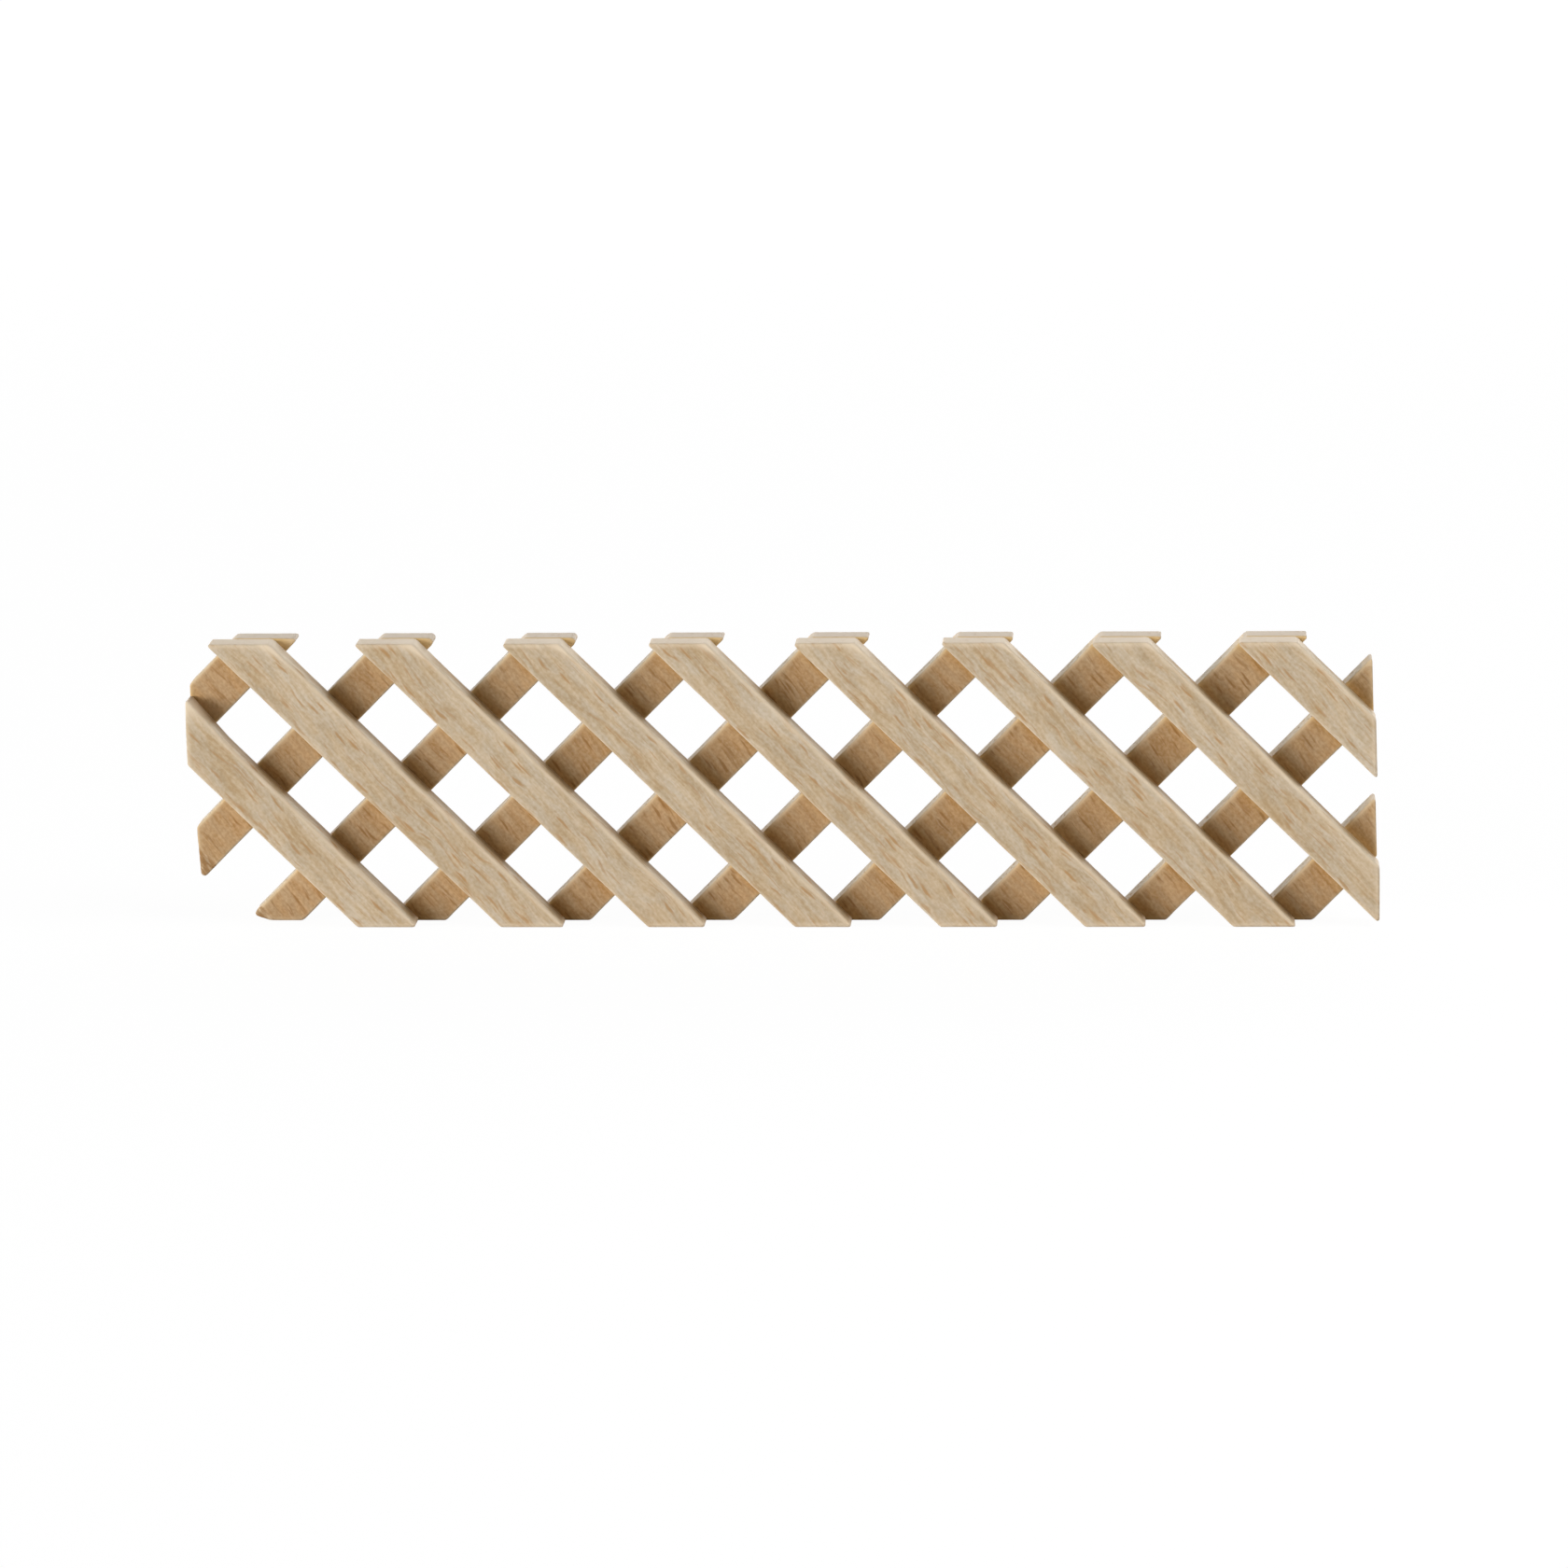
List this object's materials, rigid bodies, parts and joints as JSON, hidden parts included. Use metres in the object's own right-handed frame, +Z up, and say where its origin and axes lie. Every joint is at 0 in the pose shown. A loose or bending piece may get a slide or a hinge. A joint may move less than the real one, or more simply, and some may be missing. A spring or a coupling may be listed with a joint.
{
  "type": "lattice panel",
  "caption": "Small rectangular wooden lattice of crossed diagonal slats in two layers, glued at the crossings, to stand, glue on or slot into a frame.",
  "frame": {"origin": "middle of the bottom edge, on the surface it stands on, half way through its thickness", "axes": "+X along the panel to the right as seen from the front, +Z up, the front face towards -Y"},
  "size_m": [0.1157, 0.007, 0.028],
  "materials": {
    "front_wood": "bare sanded beech",
    "rear_wood": "bare sawn beech",
    "glue": "dried clear wood glue"
  },
  "bodies": {
    "root": {"front_slat_1": "front_wood", "front_slat_2": "front_wood", "front_slat_3": "front_wood", "front_slat_4": "front_wood", "front_slat_5": "front_wood", "front_slat_6": "front_wood", "front_slat_7": "front_wood", "front_slat_8": "front_wood", "front_slat_9": "front_wood", "rear_slat_1": "rear_wood", "rear_slat_2": "rear_wood", "rear_slat_3": "rear_wood", "rear_slat_4": "rear_wood", "rear_slat_5": "rear_wood", "rear_slat_6": "rear_wood", "rear_slat_7": "rear_wood", "rear_slat_8": "rear_wood", "rear_slat_9": "rear_wood", "rear_slat_10": "rear_wood", "glue_line_1": "glue", "glue_line_2": "glue", "glue_line_3": "glue", "glue_line_4": "glue", "glue_line_5": "glue", "glue_line_6": "glue", "glue_line_7": "glue", "glue_line_8": "glue", "glue_line_9": "glue"}
  },
  "joints": []
}
